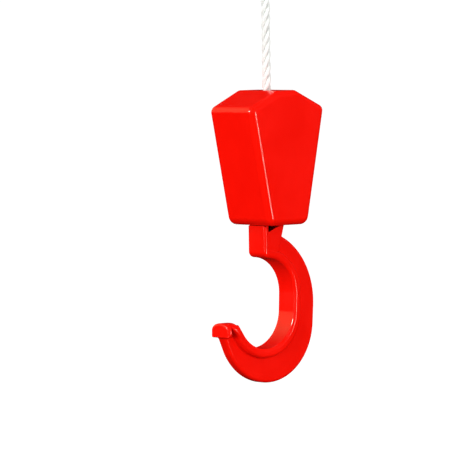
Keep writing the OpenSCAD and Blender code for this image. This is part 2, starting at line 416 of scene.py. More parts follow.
def build_screw(x, z):
    head = [(0, 0.0), (2.3, 0.0), (2.42, 0.05), (SCREW_HEAD_R, 0.16), (SCREW_HEAD_R, SCREW_HEAD_SIDE)]
    head += [(SCREW_HEAD_FLAT + (SCREW_HEAD_R - SCREW_HEAD_FLAT) * math.cos(a),
              SCREW_HEAD_SIDE + (SCREW_HEAD_H - SCREW_HEAD_SIDE) * math.sin(a) ** 0.9)
             for a in quarter(8)[1:]]
    head.append((0, SCREW_HEAD_H))
    body = lathe("screw", [(r, WELL_SEAT + h) for r, h in head], (x, 0, TOP + z), "y", 48)
    arms = []
    for turn in (0, 1):
        rings = []
        for reach, width, depth in ((0.9, 0.4, 0.62), (1.45, 0.62, 1.55)):
            a, b = (reach, width) if turn == 0 else (width, reach)
            rings.append([(x + i * a, WELL_SEAT + depth, TOP + z + j * b)
                          for i, j in ((-1, -1), (1, -1), (1, 1), (-1, 1))])
        arms.append(make("recess", *loft(rings)))
    combine(body, arms, "DIFFERENCE")
    rings = []
    segments = 24
    length = SCREW_LEN + SHANK_TOP
    steps = int(length / PITCH * 12)
    for k in range(steps + 1):
        h = -SCREW_LEN + length * k / steps
        tip = min(1.0, 0.25 + (h + SCREW_LEN) / 1.6)
        ring = []
        for i in range(segments):
            a = 2 * math.pi * i / segments
            wave = (h / PITCH - i / segments) % 1.0
            ridge = max(0.0, 1 - abs(wave - 0.5) / 0.28)
            thread = THREAD_H * ridge if h < -1.0 else 0.0
            r = (SHANK_R + thread) * tip
            ring.append((x + r * math.cos(a), WELL_SEAT + h, TOP + z + r * math.sin(a)))
        rings.append(ring)
    shank = make("shank", *loft(rings))
    combine(body, [shank], "UNION")
    return body


def build_screws():
    screws = join("block_screws", [build_screw(x, z) for x, z in SCREW_AT])
    return shade(clean(screws), 40)


# ---- Parts inside the block ----

def rounded_slab(name, corners, y0, y1, edge, steps=5):
    """Slab on a convex outline with every outer edge rounded."""
    corners = np.array(corners, float)
    inwards = corners.mean(0) - corners
    shrunk = corners + inwards * (edge * 1.3 / np.linalg.norm(inwards, axis=1))[:, None]
    rings = []
    for y, sign in ((y0, 1), (y1, -1)):
        part = [ring_around(shrunk, edge * math.sin(a), y + sign * edge * (1 - math.cos(a)))
                for a in quarter(steps)]
        rings.extend(part if sign > 0 else reversed(part))
    return make(name, *loft(rings))


def ring_around(corners, r, y, steps=6):
    """Counter-clockwise convex outline grown by r, with round corners, at depth y."""
    n = len(corners)
    ring = []
    for i in range(n):
        before = corners[i] - corners[i - 1]
        after = corners[(i + 1) % n] - corners[i]
        a0 = math.atan2(-before[0], before[1])
        a1 = math.atan2(-after[0], after[1])
        turn = (a1 - a0) % (2 * math.pi)
        for k in range(steps + 1):
            a = a0 + turn * k / steps
            ring.append((corners[i][0] + r * math.cos(a), y, corners[i][1] + r * math.sin(a)))
    return ring


def build_ballast():
    low, high = cad_box("ballast_weight")
    inset = (high[2] - low[2]) * math.tan(SIDE)
    corners = [(low[0] + inset, low[2]), (high[0] - inset, low[2]), (high[0], high[2]), (low[0], high[2])]
    return shade(rounded_slab("ballast_casting", corners, low[1], high[1], 0.5))


def build_pad():
    low, high = cad_box("ballast_pad")
    corners = [(low[0], low[2]), (high[0], low[2]), (high[0], high[2]), (low[0], high[2])]
    return shade(rounded_slab("ballast_foam", corners, low[1], high[1], 0.3))


def build_washer(name, node, bore_r, edge):
    low, high = cad_box(node)
    r = (high[0] - low[0]) / 2
    profile = rounded_profile(r, low[2], high[2], edge)
    washer = lathe(name, profile, (0, 0, 0), "z", 64)
    through = [(0, low[2] - 1), (bore_r, low[2] - 1), (bore_r, high[2] + 1), (0, high[2] + 1)]
    combine(washer, [lathe("bore", through, (0, 0, 0), "z", 64)], "DIFFERENCE")
    return shade(clean(washer, 20 * POINT_GAP))


# ---- Hook: a solid described by distances, skinned by a surface net ----

NECK_TOP = -0.12
NECK_LEFT = -5.5
NECK_RIGHT = 3.4
RIB_T = 1.6
RIB_FOOT = np.array([0.85, -9.0])
RIB_FOOT_W = 1.9
RIB_FOOT_DROP = 0.5
RIB_EDGE_R = 0.5
RIB_RELIEF = 0.12
GUSSET_RELIEF = 0.1
GUSSET_EDGE_R = 0.05
GUSSET_FOOT = -9.6
POCKET_LEFT = -3.66
POCKET_RIGHT = 1.3
POCKET_FOOT = -2.2
POCKET_SLOPE = POCKET_FOOT / (POCKET_LEFT - POCKET_RIGHT)
CROOK_C, CROOK_R = np.array([-4.3, -22.7]), 12.0
BOWL_C, BOWL_R = np.array([-4.7, -28.2]), 12.2
BACK_C, BACK_R = np.array([-5.6, -25.9]), 24.1
BELLY_C, BELLY_R = np.array([-1.7, -32.0]), 19.8
CORNER_R = 2.0
CROOK_START_A = 88
BACK_START_A = 70
BELLY_END_A = -152
FLANGE_D = 8.5
FLANGE_T = 3.0
FLANGE_EDGE_R = 1.0
WEB_T = 3.9
WEB_EDGE_R = 1.0
WEB_FILLET = 0.6
POCKET_WEB = 0.15
POCKET_BLEND = 0.15
LIP_A = -145
LIP_LEN = 4.2
LIP_TOP = -30.9
LIP_X = -22.1
LIP_DROP = 4.95
LIP_T = 2.0
LIP_EDGE_R = 0.9
LIP_CROWN_R = 6.2
LIP_EXTRA_D = 0.3
LIP_SIDE_R = 1.25
LIP_LEFT_END = LIP_X + 5
HEAD_R = 6.0
HEAD_T = 1.8
HEAD_Z = WALL + 0.55
HEAD_EDGE_R = 0.3
JOURNAL_END = HEAD_Z + HEAD_T / 2
ARC_STEP = 1.5


def arc(centre, r, start, end):
    n = max(1, math.ceil(abs(end - start) / ARC_STEP))
    return [centre + r * np.array([math.cos(math.radians(a)), math.sin(math.radians(a))])
            for a in np.linspace(start, end, n + 1)]


def tangent_angle(c1, r1, c2, r2):
    d = c2 - c1
    return math.degrees(math.atan2(d[1], d[0]) + math.acos((r1 - r2) / np.linalg.norm(d)))


def inner_curve(grow, length):
    """Crook, bowl and the straight run of the lip, grown outwards."""
    t = tangent_angle(CROOK_C, CROOK_R, BOWL_C, BOWL_R)
    a = math.radians(LIP_A)
    foot = BOWL_C + (BOWL_R + grow) * np.array([math.cos(a), math.sin(a)])
    end = foot + length * np.array([math.sin(a), -math.cos(a)])
    return arc(CROOK_C, CROOK_R + grow, CROOK_START_A, t) + arc(BOWL_C, BOWL_R + grow, t, LIP_A) + [end]


def outer_curve():
    t = tangent_angle(BACK_C, BACK_R, BELLY_C, BELLY_R)
    start = np.array([LIP_X + LIP_T / 4, LIP_TOP - LIP_DROP])
    return [start] + arc(BELLY_C, BELLY_R, BELLY_END_A, t) + arc(BACK_C, BACK_R, t, BACK_START_A)


def flange_outline():
    corner = np.array([NECK_LEFT + CORNER_R, CROOK_C[1] + CROOK_R + CORNER_R])
    inside = inner_curve(0, LIP_LEN)
    end = inside[-1]
    a = math.radians(LIP_A)
    foot = LIP_TOP - LIP_DROP
    turn = (BOWL_C[0] + (BOWL_R + FLANGE_T) * math.cos(a) - LIP_X - LIP_T) / -math.sin(a)
    e = LIP_EDGE_R
    return ([(NECK_LEFT + RIB_T, NECK_TOP), (NECK_LEFT, NECK_TOP)]
            + arc(corner, CORNER_R, 180, 255) + inside
            + arc(np.array([end[0] - e, LIP_TOP - e]), e, 45, 90)
            + arc(np.array([LIP_X + e, LIP_TOP - e]), e, 90, 180)
            + [(LIP_X, foot), (LIP_X + LIP_T, foot)]
            + inner_curve(FLANGE_T, turn)[::-1]
            + [(NECK_LEFT + RIB_T, CROOK_C[1] + CROOK_R + FLANGE_T)])


def web_outline():
    g = FLANGE_T / 2
    return ([(NECK_LEFT + g, NECK_TOP), (NECK_LEFT + g, CROOK_C[1] + CROOK_R + g)]
            + inner_curve(g, LIP_LEN / 2) + [(LIP_X + LIP_T / 2, LIP_TOP - g)]
            + outer_curve() + [tuple(RIB_FOOT), (NECK_RIGHT, NECK_TOP)])


def rib_outline():
    return [(NECK_RIGHT, NECK_TOP), tuple(RIB_FOOT), tuple(RIB_FOOT - (RIB_FOOT_W, RIB_FOOT_DROP)),
            (NECK_RIGHT - RIB_T, NECK_TOP)]


def gusset_outline():
    """Fills the neck between its ribs, but for a pocket under the block with a slanted floor."""
    left = NECK_LEFT + RIB_T / 2
    return [(left, NECK_TOP), (left, GUSSET_FOOT), (RIB_FOOT[0] - RIB_FOOT_W / 2, GUSSET_FOOT),
            (NECK_RIGHT - RIB_T / 2, NECK_TOP), (POCKET_RIGHT, NECK_TOP), (POCKET_LEFT, POCKET_FOOT),
            (POCKET_LEFT, NECK_TOP)]


def outline_distance(px, pz, corners):
    """Signed distance from points to a closed outline, negative inside."""
    corners = np.array([tuple(c) for c in corners], float)
    best = np.full(np.broadcast(px, pz).shape, 1e9)
    inside = np.zeros(best.shape, bool)
    for i in range(len(corners)):
        a, b = corners[i], corners[i - 1]
        edge = b - a
        wx, wz = px - a[0], pz - a[1]
        t = np.clip((wx * edge[0] + wz * edge[1]) / max(edge @ edge, 1e-12), 0, 1)
        dx, dz = wx - edge[0] * t, wz - edge[1] * t
        best = np.minimum(best, dx * dx + dz * dz)
        if edge[1] != 0:
            side = (pz >= a[1]) != (pz >= b[1])
            inside ^= side & (wx < wz * edge[0] / edge[1])
    return np.where(inside, -1, 1) * np.sqrt(best)


def slab_distance(flat, y, half, r):
    """An outline's distance turned into a plate of given half thickness with rounded edges."""
    a = flat + r
    b = np.abs(y) - half + r
    return np.minimum(np.maximum(a, b), 0) + np.hypot(np.maximum(a, 0), np.maximum(b, 0)) - r


def soft_min(a, b, k):
    """Smaller of two distances, blended over the width k."""
    h = np.maximum(k - np.abs(a - b), 0) / k
    return np.minimum(a, b) - h * h * k / 4


def soft_max(a, b, k):
    return -soft_min(-a, -b, k)


FLANGE = flange_outline()
WEB = web_outline()
RIB = rib_outline()
GUSSET = gusset_outline()


def hook_distance(x, y, z):
    """Distance to the hook's surface; z from the block's underside."""
    flange_flat = outline_distance(x, z, FLANGE)
    flange = slab_distance(flange_flat, y, FLANGE_D / 2, FLANGE_EDGE_R)
    crown = np.hypot(y, z - (LIP_TOP - LIP_CROWN_R)) - LIP_CROWN_R
    lip = soft_max(slab_distance(flange_flat, y, FLANGE_D / 2 + LIP_EXTRA_D, LIP_SIDE_R), crown, 1.0)
    flange = np.where(x < LIP_LEFT_END, lip, flange)
    web = slab_distance(outline_distance(x, z, WEB), y, WEB_T / 2, WEB_EDGE_R)
    gusset_half = FLANGE_D / 2 - GUSSET_RELIEF
    gusset = slab_distance(outline_distance(x, z, GUSSET), y, gusset_half, GUSSET_EDGE_R)
    pocket = np.maximum(POCKET_LEFT - x, POCKET_FOOT + POCKET_SLOPE * (x - POCKET_LEFT) - z)
    pocket = np.maximum(np.maximum(pocket, x - POCKET_RIGHT), POCKET_WEB - np.abs(y))
    web = soft_max(web, -pocket, POCKET_BLEND)
    rib = slab_distance(outline_distance(x, z, RIB), y, FLANGE_D / 2 - RIB_RELIEF, RIB_EDGE_R)
    body = np.minimum(np.minimum(soft_min(web, flange, WEB_FILLET), gusset), rib)
    r = np.hypot(x, y)
    journal = slab_distance(r - JOURNAL_R, z - (JOURNAL_END + NECK_TOP) / 2,
                            (JOURNAL_END - NECK_TOP) / 2 + 0.3, 0.2)
    head = slab_distance(r - HEAD_R, z - HEAD_Z - HEAD_T / 2, HEAD_T / 2, HEAD_EDGE_R)
    return np.minimum(body, soft_min(journal, head, 0.3))


def surface_net(distance, low, high, step):
    """Quads over the zero surface of a distance field, points pulled onto the surface, and their normals."""
    axes = [np.arange(low[i], high[i] + step, step) for i in range(3)]
    x, y, z = axes[0][:, None, None], axes[1][None, :, None], axes[2][None, None, :]
    value = distance(x, y, z)
    shape = np.array(value.shape) - 1
    total = np.zeros(tuple(shape) + (3,))
    hits = np.zeros(tuple(shape))
    crossings = []
    for axis in range(3):
        first = [slice(None)] * 3
        second = [slice(None)] * 3
        first[axis] = slice(None, -1)
        second[axis] = slice(1, None)
        a, b = value[tuple(first)], value[tuple(second)]
        crossing = (a < 0) != (b < 0)
        t = np.where(crossing, a / np.where(crossing, a - b, 1), 0)
        crossings.append((crossing, a < 0))
        others = [i for i in range(3) if i != axis]
        for du in (0, 1):
            for dv in (0, 1):
                cut = [slice(None)] * 3
                cut[others[0]] = slice(du, shape[others[0]] + du)
                cut[others[1]] = slice(dv, shape[others[1]] + dv)
                hit = crossing[tuple(cut)]
                hits += hit
                total[..., axis] += np.where(hit, t[tuple(cut)], 0)
                total[..., others[0]] += du * hit
                total[..., others[1]] += dv * hit
    active = hits > 0
    number = np.full(tuple(shape), -1)
    number[active] = np.arange(active.sum())
    cell = np.argwhere(active)
    points = np.array(low) + step * (cell + total[active] / hits[active][:, None])
    faces = []
    for axis in range(3):
        crossing, inside = crossings[axis]
        u, v = [(1, 2), (2, 0), (0, 1)][axis]
        index = np.argwhere(crossing)
        keep = (index[:, u] > 0) & (index[:, v] > 0) & (index[:, u] < shape[u]) & (index[:, v] < shape[v])
        index = index[keep]
        flip = ~inside[tuple(index.T)]
        corner = []
        for du, dv in ((-1, -1), (0, -1), (0, 0), (-1, 0)):
            at = index.copy()
            at[:, u] += du
            at[:, v] += dv
            corner.append(number[tuple(at.T)])
        quad = np.stack(corner, 1)
        quad[flip] = quad[flip][:, ::-1]
        faces.append(quad)
    for _ in range(2):
        normals, here = gradient(distance, points)
        points = points - normals * np.clip(here, -step / 2, step / 2)[:, None]
    return points, np.concatenate(faces), gradient(distance, points)[0]


def gradient(distance, points, h=0.02):
    """Unit slope of a distance field at points, and the distances there."""
    parts = []
    for axis in range(3):
        shift = np.zeros(3)
        shift[axis] = h
        a, b = points + shift, points - shift
        parts.append(distance(a[:, 0], a[:, 1], a[:, 2]) - distance(b[:, 0], b[:, 1], b[:, 2]))
    slope = np.stack(parts, 1)
    length = np.maximum(np.linalg.norm(slope, axis=1), 1e-9)
    return slope / length[:, None], distance(points[:, 0], points[:, 1], points[:, 2])


def build_hook():
    step = 0.27
    low, high = cad_box("hook")
    low = low - (1.3 * step, 1.37 * step, FOOT + 1.31 * step)
    high = high + (1.3 * step, 1.3 * step, 1.3 * step - FOOT)
    points, faces, normals = surface_net(hook_distance, low, high, step)
    mesh = bpy.data.meshes.new("hook_moulding")
    points[:, 2] += FOOT
    mesh.from_pydata((points * MM).tolist(), [], faces.tolist())
    mesh.polygons.foreach_set("use_smooth", [True] * len(mesh.polygons))
    mesh.normals_split_custom_set_from_vertices(normals.tolist())
    return link(bpy.data.objects.new("hook_moulding", mesh))


# ---- Cord: three laid strands ----

LAY = 11.5
STRAND_R = 0.70
STRAND_OUT = CORD_R - STRAND_R - 0.02
YARNS = 7
YARN_H = 0.035
YARN_LAY = 7.5
CUT_ROUND = 0.7


def rope(name, path, along, ring_points=42, cut_end=None):
    """Three strands laid round a path. Along is the distance from the cord's free end at each path point."""
    path = np.asarray(path, float)
    along = np.asarray(along, float)
    tangent = np.gradient(path, axis=0)
    tangent /= np.linalg.norm(tangent, axis=1)[:, None]
    side = np.cross(tangent[0], (0.0, 1.0, 0.0) if abs(tangent[0][1]) < 0.9 else (1.0, 0.0, 0.0))
    side /= np.linalg.norm(side)
    sides = [side]
    for k in range(1, len(path)):
        side = side - tangent[k] * (side @ tangent[k])
        side /= np.linalg.norm(side)
        sides.append(side)
    sides = np.array(sides)
    ups = np.cross(tangent, sides)
    points, faces, lays = [], [], []
    n = len(path)
    around = 2 * math.pi * np.arange(ring_points) / ring_points
    for strand in range(3):
        turn = 2 * math.pi * (along / LAY + strand / 3)
        out = np.cos(turn)[:, None] * sides + np.sin(turn)[:, None] * ups
        tang = -np.sin(turn)[:, None] * sides + np.cos(turn)[:, None] * ups
        centre = path + STRAND_OUT * out
        lean = 2 * math.pi * STRAND_OUT / LAY
        forward = tangent + lean * tang
        forward /= np.linalg.norm(forward, axis=1)[:, None]
        across = np.cross(forward, out)
        across /= np.linalg.norm(across, axis=1)[:, None]
        shrink = np.ones(n)
        if cut_end is not None:
            left = np.clip(np.abs(along - cut_end) / CUT_ROUND, 0, 1)
            shrink = np.sqrt(np.clip(1 - (1 - left) ** 2, 0.0, 1)) * 0.93 + 0.07
        start = sum(len(p) for p in points)
        ring_list = []
        for k in range(n):
            twist = around + 2 * math.pi * along[k] / YARN_LAY
            phase = YARNS * (twist + strand)
            swell = YARN_H * (np.abs(np.cos(phase / 2)) - 0.6)
            wobble = 0.012 * math.sin(along[k] * 1.9 + strand * 2.1)
            wobble += 0.01 * math.sin(along[k] * 4.7 + strand)
            radial = np.cos(around)
            r = (STRAND_R + swell + wobble) * shrink[k]
            press = np.where(radial < 0, 1 + 0.10 * radial, 1.0)
            outwards = (r * radial * press)[:, None] * out[k]
            sideways = (r * np.sin(around))[:, None] * across[k]
            ring_list.append(centre[k] + outwards + sideways)
            lengthwise = np.full(ring_points, along[k] * 0.12 + strand * 3)
            lays.append(np.stack([np.cos(twist), np.sin(twist), lengthwise], 1))
        points.append(np.concatenate(ring_list))
        for k in range(n - 1):
            for i in range(ring_points):
                j = (i + 1) % ring_points
                faces.append((start + k * ring_points + i, start + k * ring_points + j,
                              start + (k + 1) * ring_points + j, start + (k + 1) * ring_points + i))
        faces.append(tuple(start + i for i in range(ring_points - 1, -1, -1)))
        faces.append(tuple(start + (n - 1) * ring_points + i for i in range(ring_points)))
    points = np.concatenate(points)
    mesh = bpy.data.meshes.new(name)
    mesh.from_pydata((points * MM).tolist(), [], faces)
    attribute = mesh.attributes.new("lay", "FLOAT_VECTOR", "POINT")
    attribute.data.foreach_set("vector", np.concatenate(lays).astype(np.float32).ravel())
    mesh.polygons.foreach_set("use_smooth", [len(p.vertices) == 4 for p in mesh.polygons])
    obj = link(bpy.data.objects.new(name, mesh))
    bm = bmesh.new()
    bm.from_mesh(mesh)
    bmesh.ops.recalc_face_normals(bm, faces=bm.faces)
    bm.to_mesh(mesh)
    bm.free()
    return obj


def straight(z0, z1, spacing=0.2):
    """Upright path between two heights, and its distances from the cord's free end."""
    n = max(2, int(round(abs(z1 - z0) / spacing)) + 1)
    z = np.linspace(z0, z1, n)
    return np.stack([0 * z, 0 * z, z], 1), cord_high[2] - z


CORD_SPLIT = (BEND_HIGH + BEND_LOW) / 2

upper_cord = rope("cord_above", *straight(cord_high[2], CORD_SPLIT), cut_end=0.0)
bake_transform(upper_cord)
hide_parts("hoist_cord")

middle_cord = rope("cord_at_block", *straight(CORD_SPLIT, TOP))
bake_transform(middle_cord)
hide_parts("cord_link")


def knot_path():
    """Cord inside the block: straight down, an overhand knot under the washer, and the cut tail."""
    knot_low = cad_box("cord_knot")[0]
    centre = TOP + CORD_BOSS_LOW - WASHER_T - KNOT_R
    turns = 1.5
    s = np.linspace(0, 1, 200)
    a = 2 * math.pi * (0.08 + 0.84 * s) * turns
    size = KNOT_R - CORD_R - 0.15
    ring = 0.62 + 0.38 * np.cos(2 * a / turns)
    x = size * ring * np.sin(a)
    y = size * ring * np.cos(a) - size * 0.1
    z = centre + 1.6 * np.cos(math.pi * s)
    middle = np.stack([x, y, z], 1)
    top = [(0, 0, TOP - drop) for drop in (0, 1.5, 3.0, 4.2)]
    end = [(0, 0, z) for z in (centre - 2.9, knot_low[2] + 0.4, knot_low[2])]
    rough = np.concatenate([top, middle[20:-20:12], end])
    return smooth_path(rough, 0.2)


def smooth_path(rough, spacing):
    """Catmull-Rom curve through rough points, resampled evenly."""
    ext = np.concatenate([[2 * rough[0] - rough[1]], rough, [2 * rough[-1] - rough[-2]]])
    fine = []
    for i in range(1, len(ext) - 2):
        p0, p1, p2, p3 = ext[i - 1:i + 3]
        for t in np.linspace(0, 1, 24, endpoint=False):
            fine.append(0.5 * (2 * p1 + (p2 - p0) * t + (2 * p0 - 5 * p1 + 4 * p2 - p3) * t * t
                               + (3 * p1 - p0 - 3 * p2 + p3) * t ** 3))
    fine.append(rough[-1])
    fine = np.array(fine)
    run = np.concatenate([[0], np.cumsum(np.linalg.norm(np.diff(fine, axis=0), axis=1))])
    at = np.linspace(0, run[-1], int(run[-1] / spacing) + 1)
    return np.stack([np.interp(at, run, fine[:, i]) for i in range(3)], 1), at + cord_high[2] - TOP


def seat(obj, body, node):
    """Lets a piece ride on a body in place of its CAD node."""
    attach(obj, body)
    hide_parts(node)
    return obj


tail_path, tail_along = knot_path()
tail_cord = rope("cord_knot_and_tail", tail_path, tail_along, ring_points=30, cut_end=tail_along[-1])
seat(tail_cord, "cord_tail", "cord_knot")
shell = seat(build_front_shell(), "block", "front_shell")
cover = seat(build_rear_cover(), "block", "rear_cover")
screws = seat(build_screws(), "block", "cover_screws")
ballast = seat(build_ballast(), "block", "ballast_weight")
pad = seat(build_pad(), "block", "ballast_pad")
steel_washer = build_washer("cord_washer_stamped", "cord_washer", CORD_R + 0.2, 0.15)
seat(steel_washer, "block", "cord_washer")
plastic_washer = build_washer("swivel_washer_moulded", "swivel_washer", JOURNAL_R + GAP, 0.12)
seat(plastic_washer, "block", "swivel_washer")
hook = seat(build_hook(), "hook", "hook")


# ---- Materials ----

class Nodes:
    """Short way to build the nodes of a material or a world."""

    def __init__(self, owner, out="ShaderNodeOutputMaterial"):
        owner.use_nodes = True
        self.owner = owner
        self.tree = owner.node_tree
        self.tree.nodes.clear()
        self.out = self.add(out)

    def add(self, kind, **values):
        node = self.tree.nodes.new(kind)
        for key, value in values.items():
            setattr(node, key, value)
        return node

    def wire(self, value, socket):
        """Links a socket, or sets a plain value."""
        if isinstance(value, bpy.types.NodeSocket):
            self.tree.links.new(value, socket)
        else:
            socket.default_value = value

    def math(self, operation, a, b):
        node = self.add("ShaderNodeMath", operation=operation)
        self.wire(a, node.inputs[0])
        self.wire(b, node.inputs[1])
        return node.outputs[0]

    def place(self, scale=(1, 1, 1), attribute=None):
        """Place on the object, or a vector stored on its mesh, stretched by scale."""
        if attribute:
            start = self.add("ShaderNodeAttribute", attribute_name=attribute).outputs["Vector"]
        else:
            start = self.add("ShaderNodeTexCoord").outputs["Object"]
        mapping = self.add("ShaderNodeMapping")
        self.wire(start, mapping.inputs["Vector"])
        mapping.inputs["Scale"].default_value = scale
        return mapping.outputs[0]

    def noise(self, where, scale, detail=4, roughness=0.5, distortion=0.0):
        node = self.add("ShaderNodeTexNoise")
        self.wire(where, node.inputs["Vector"])
        node.inputs["Scale"].default_value = scale
        node.inputs["Detail"].default_value = detail
        node.inputs["Roughness"].default_value = roughness
        node.inputs["Distortion"].default_value = distortion
        return node.outputs["Fac"]

    def span(self, value, a, b, c, d, interpolation="LINEAR"):
        """Maps a..b onto c..d, clamped."""
        node = self.add("ShaderNodeMapRange", interpolation_type=interpolation)
        self.wire(value, node.inputs["Value"])
        for key, number in zip(("From Min", "From Max", "To Min", "To Max"), (a, b, c, d)):
            node.inputs[key].default_value = number
        return node.outputs["Result"]

    def mix(self, share, a, b):
        """Colour between a and b, each a colour or a socket."""
        node = self.add("ShaderNodeMix", data_type="RGBA")
        self.wire(share, node.inputs["Factor"])
        for key, colour in (("A", a), ("B", b)):
            socket = next(s for s in node.inputs if s.name == key and s.type == "RGBA")
            if not isinstance(colour, bpy.types.NodeSocket):
                colour = tuple(colour) + (1.0,)
            self.wire(colour, socket)
        return next(s for s in node.outputs if s.type == "RGBA")

    def bump(self, height, distance, strength=1.0, normal=None):
        node = self.add("ShaderNodeBump")
        self.wire(height, node.inputs["Height"])
        node.inputs["Distance"].default_value = distance
        node.inputs["Strength"].default_value = strength
        if normal is not None:
            self.wire(normal, node.inputs["Normal"])
        return node.outputs["Normal"]

    def edges(self, radius, low, high):
        """Mask that is 1 on edges and 0 on flats."""
        soft = self.add("ShaderNodeBevel", samples=4)
        soft.inputs["Radius"].default_value = radius
        plain = self.add("ShaderNodeNewGeometry").outputs["Normal"]
        dot = self.add("ShaderNodeVectorMath", operation="DOT_PRODUCT")
        self.wire(soft.outputs[0], dot.inputs[0])
        self.wire(plain, dot.inputs[1])
        return self.span(dot.outputs["Value"], high, low, 0.0, 1.0)

    def surface(self, **values):
        shader = self.add("ShaderNodeBsdfPrincipled")
        for key, value in values.items():
            name = key.replace("_", " ").title()
            name = {"Ior": "IOR", "Specular Ior Level": "Specular IOR Level"}.get(name, name)
            if isinstance(value, tuple) and len(value) == 3:
                value = value + (1.0,)
            self.wire(value, shader.inputs[name])
        self.wire(shader.outputs[0], self.out.inputs["Surface"])
        return self.owner


# Reach of the painted shade: how far ambient occlusion looks for close surfaces.
SHADE_PAINT_REACH = 0.0035


def red_plastic():
    m = Nodes(bpy.data.materials.new("red_plastic"))
    where = m.place()
    cloud = m.noise(where, 70, 3, 0.5, 0.4)
    flow = m.noise(m.place((1, 1, 0.25)), 240, 5, 0.6, 1.2)
    grain = m.noise(where, 2600, 2, 0.5)
    peel = m.noise(where, 620, 2, 0.5)
    scuff = m.noise(m.place((1, 1, 9)), 380, 6, 0.75, 0.6)
    colour = m.mix(m.span(cloud, 0.3, 0.7, 0, 1), (0.90, 0.0036, 0.0006), (0.96, 0.0046, 0.0009))
    colour = m.mix(m.span(flow, 0.4, 0.8, 0, 0.10), colour, (0.80, 0.004, 0.001))
    worn = m.math("MULTIPLY", m.edges(0.0006, 0.90, 0.995), m.span(scuff, 0.45, 0.62, 0, 1))
    colour = m.mix(m.math("MULTIPLY", worn, 0.10), colour, (0.95, 0.05, 0.05))
    # Painted shade: the red is darkened to near black where ambient occlusion finds close surfaces, in
    # recesses, creases and gaps between parts.
    shade_paint = m.add("ShaderNodeAmbientOcclusion", samples=8)
    shade_paint.inputs["Distance"].default_value = SHADE_PAINT_REACH
    colour = m.mix(m.span(shade_paint.outputs["AO"], 0.15, 0.48, 0.85, 0), colour, (0.05, 0.0008, 0.0004))
    rough = m.math("ADD", m.span(cloud, 0.3, 0.7, 0.15, 0.19), m.span(scuff, 0.6, 0.75, 0, 0.06))
    rough = m.math("ADD", rough, m.math("MULTIPLY", worn, 0.04))
    normal = m.bump(peel, 0.000006, 0.4)
    normal = m.bump(grain, 0.0000012, 0.4, normal)
    return m.surface(base_color=colour, roughness=rough, ior=1.49, specular_ior_level=0.42,
                     specular_tint=(1.0, 0.94, 0.84), normal=normal)


def cord_fibre():
    m = Nodes(bpy.data.materials.new("cord_fibre"))
    threads = m.noise(m.place((7, 7, 1), attribute="lay"), 1.6, 3, 0.6)
    fine = m.noise(m.place((26, 26, 2.5), attribute="lay"), 1.4, 2, 0.5)
    mottle = m.noise(m.place(), 500, 3, 0.5)
    colour = m.mix(m.span(mottle, 0.35, 0.7, 0, 1), (0.83, 0.85, 0.82), (0.77, 0.79, 0.76))
    colour = m.mix(m.span(threads, 0.35, 0.5, 0.25, 0), colour, (0.62, 0.63, 0.60))
    rough = m.span(fine, 0.3, 0.7, 0.55, 0.8)
    normal = m.bump(threads, 0.00009, 0.6)
    normal = m.bump(fine, 0.00003, 0.6, normal)
    return m.surface(base_color=colour, roughness=rough, sheen_weight=0.25, sheen_roughness=0.4,
                     specular_ior_level=0.35, normal=normal)


def screw_steel():
    m = Nodes(bpy.data.materials.new("screw_steel"))
    where = m.place()
    blotch = m.noise(where, 900, 4, 0.55)
    turning = m.noise(m.place((1, 14, 1)), 700, 3, 0.5)
    colour = m.mix(m.span(blotch, 0.35, 0.7, 0, 1), (0.60, 0.60, 0.58), (0.44, 0.44, 0.44))
    worn = m.edges(0.0002, 0.85, 0.99)
    colour = m.mix(m.math("MULTIPLY", worn, 0.5), colour, (0.75, 0.75, 0.73))
    rough = m.span(turning, 0.3, 0.7, 0.22, 0.42)
    normal = m.bump(turning, 0.000012, 0.5)
    return m.surface(base_color=colour, metallic=1.0, roughness=rough, normal=normal)


def cast_iron():
    m = Nodes(bpy.data.materials.new("cast_iron"))
    where = m.place()
    sand = m.noise(where, 1800, 6, 0.65)
    rust = m.noise(where, 260, 5, 0.6, 0.5)
    colour = m.mix(m.span(sand, 0.3, 0.7, 0, 1), (0.05, 0.05, 0.052), (0.11, 0.105, 0.10))
    colour = m.mix(m.span(rust, 0.58, 0.72, 0, 0.5), colour, (0.13, 0.06, 0.035))
    normal = m.bump(sand, 0.00012, 0.7)
    rough = m.span(sand, 0.3, 0.7, 0.5, 0.75)
    return m.surface(base_color=colour, metallic=0.55, roughness=rough, normal=normal)


def foam():
    m = Nodes(bpy.data.materials.new("foam"))
    where = m.place()
    cells = m.add("ShaderNodeTexVoronoi", feature="DISTANCE_TO_EDGE")
    m.wire(where, cells.inputs["Vector"])
    cells.inputs["Scale"].default_value = 2600
    wall = m.span(cells.outputs["Distance"], 0.02, 0.2, 1, 0)
    colour = m.mix(wall, (0.012, 0.012, 0.013), (0.05, 0.05, 0.052))
    return m.surface(base_color=colour, roughness=0.95, sheen_weight=0.2, normal=m.bump(wall, 0.00015, 0.8))


def washer_plastic():
    m = Nodes(bpy.data.materials.new("washer_plastic"))
    where = m.place()
    cloud = m.noise(where, 500, 3, 0.5)
    fine = m.noise(where, 2400, 3, 0.5)
    colour = m.mix(m.span(cloud, 0.3, 0.7, 0, 1), (0.78, 0.78, 0.75), (0.70, 0.70, 0.67))
    return m.surface(base_color=colour, roughness=m.span(fine, 0.3, 0.7, 0.4, 0.55), subsurface_weight=0.1,
                     normal=m.bump(fine, 0.00001, 0.5))


def dress(obj, material):
    obj.data.materials.clear()
    obj.data.materials.append(material)


RED = red_plastic()
FIBRE = cord_fibre()
STEEL = screw_steel()
for piece in (shell, cover, hook):
    dress(piece, RED)
for piece in (upper_cord, middle_cord, tail_cord):
    dress(piece, FIBRE)
dress(screws, STEEL)
dress(steel_washer, STEEL)
dress(ballast, cast_iron())
dress(pad, foam())
dress(plastic_washer, washer_plastic())


# ---- Floor ----

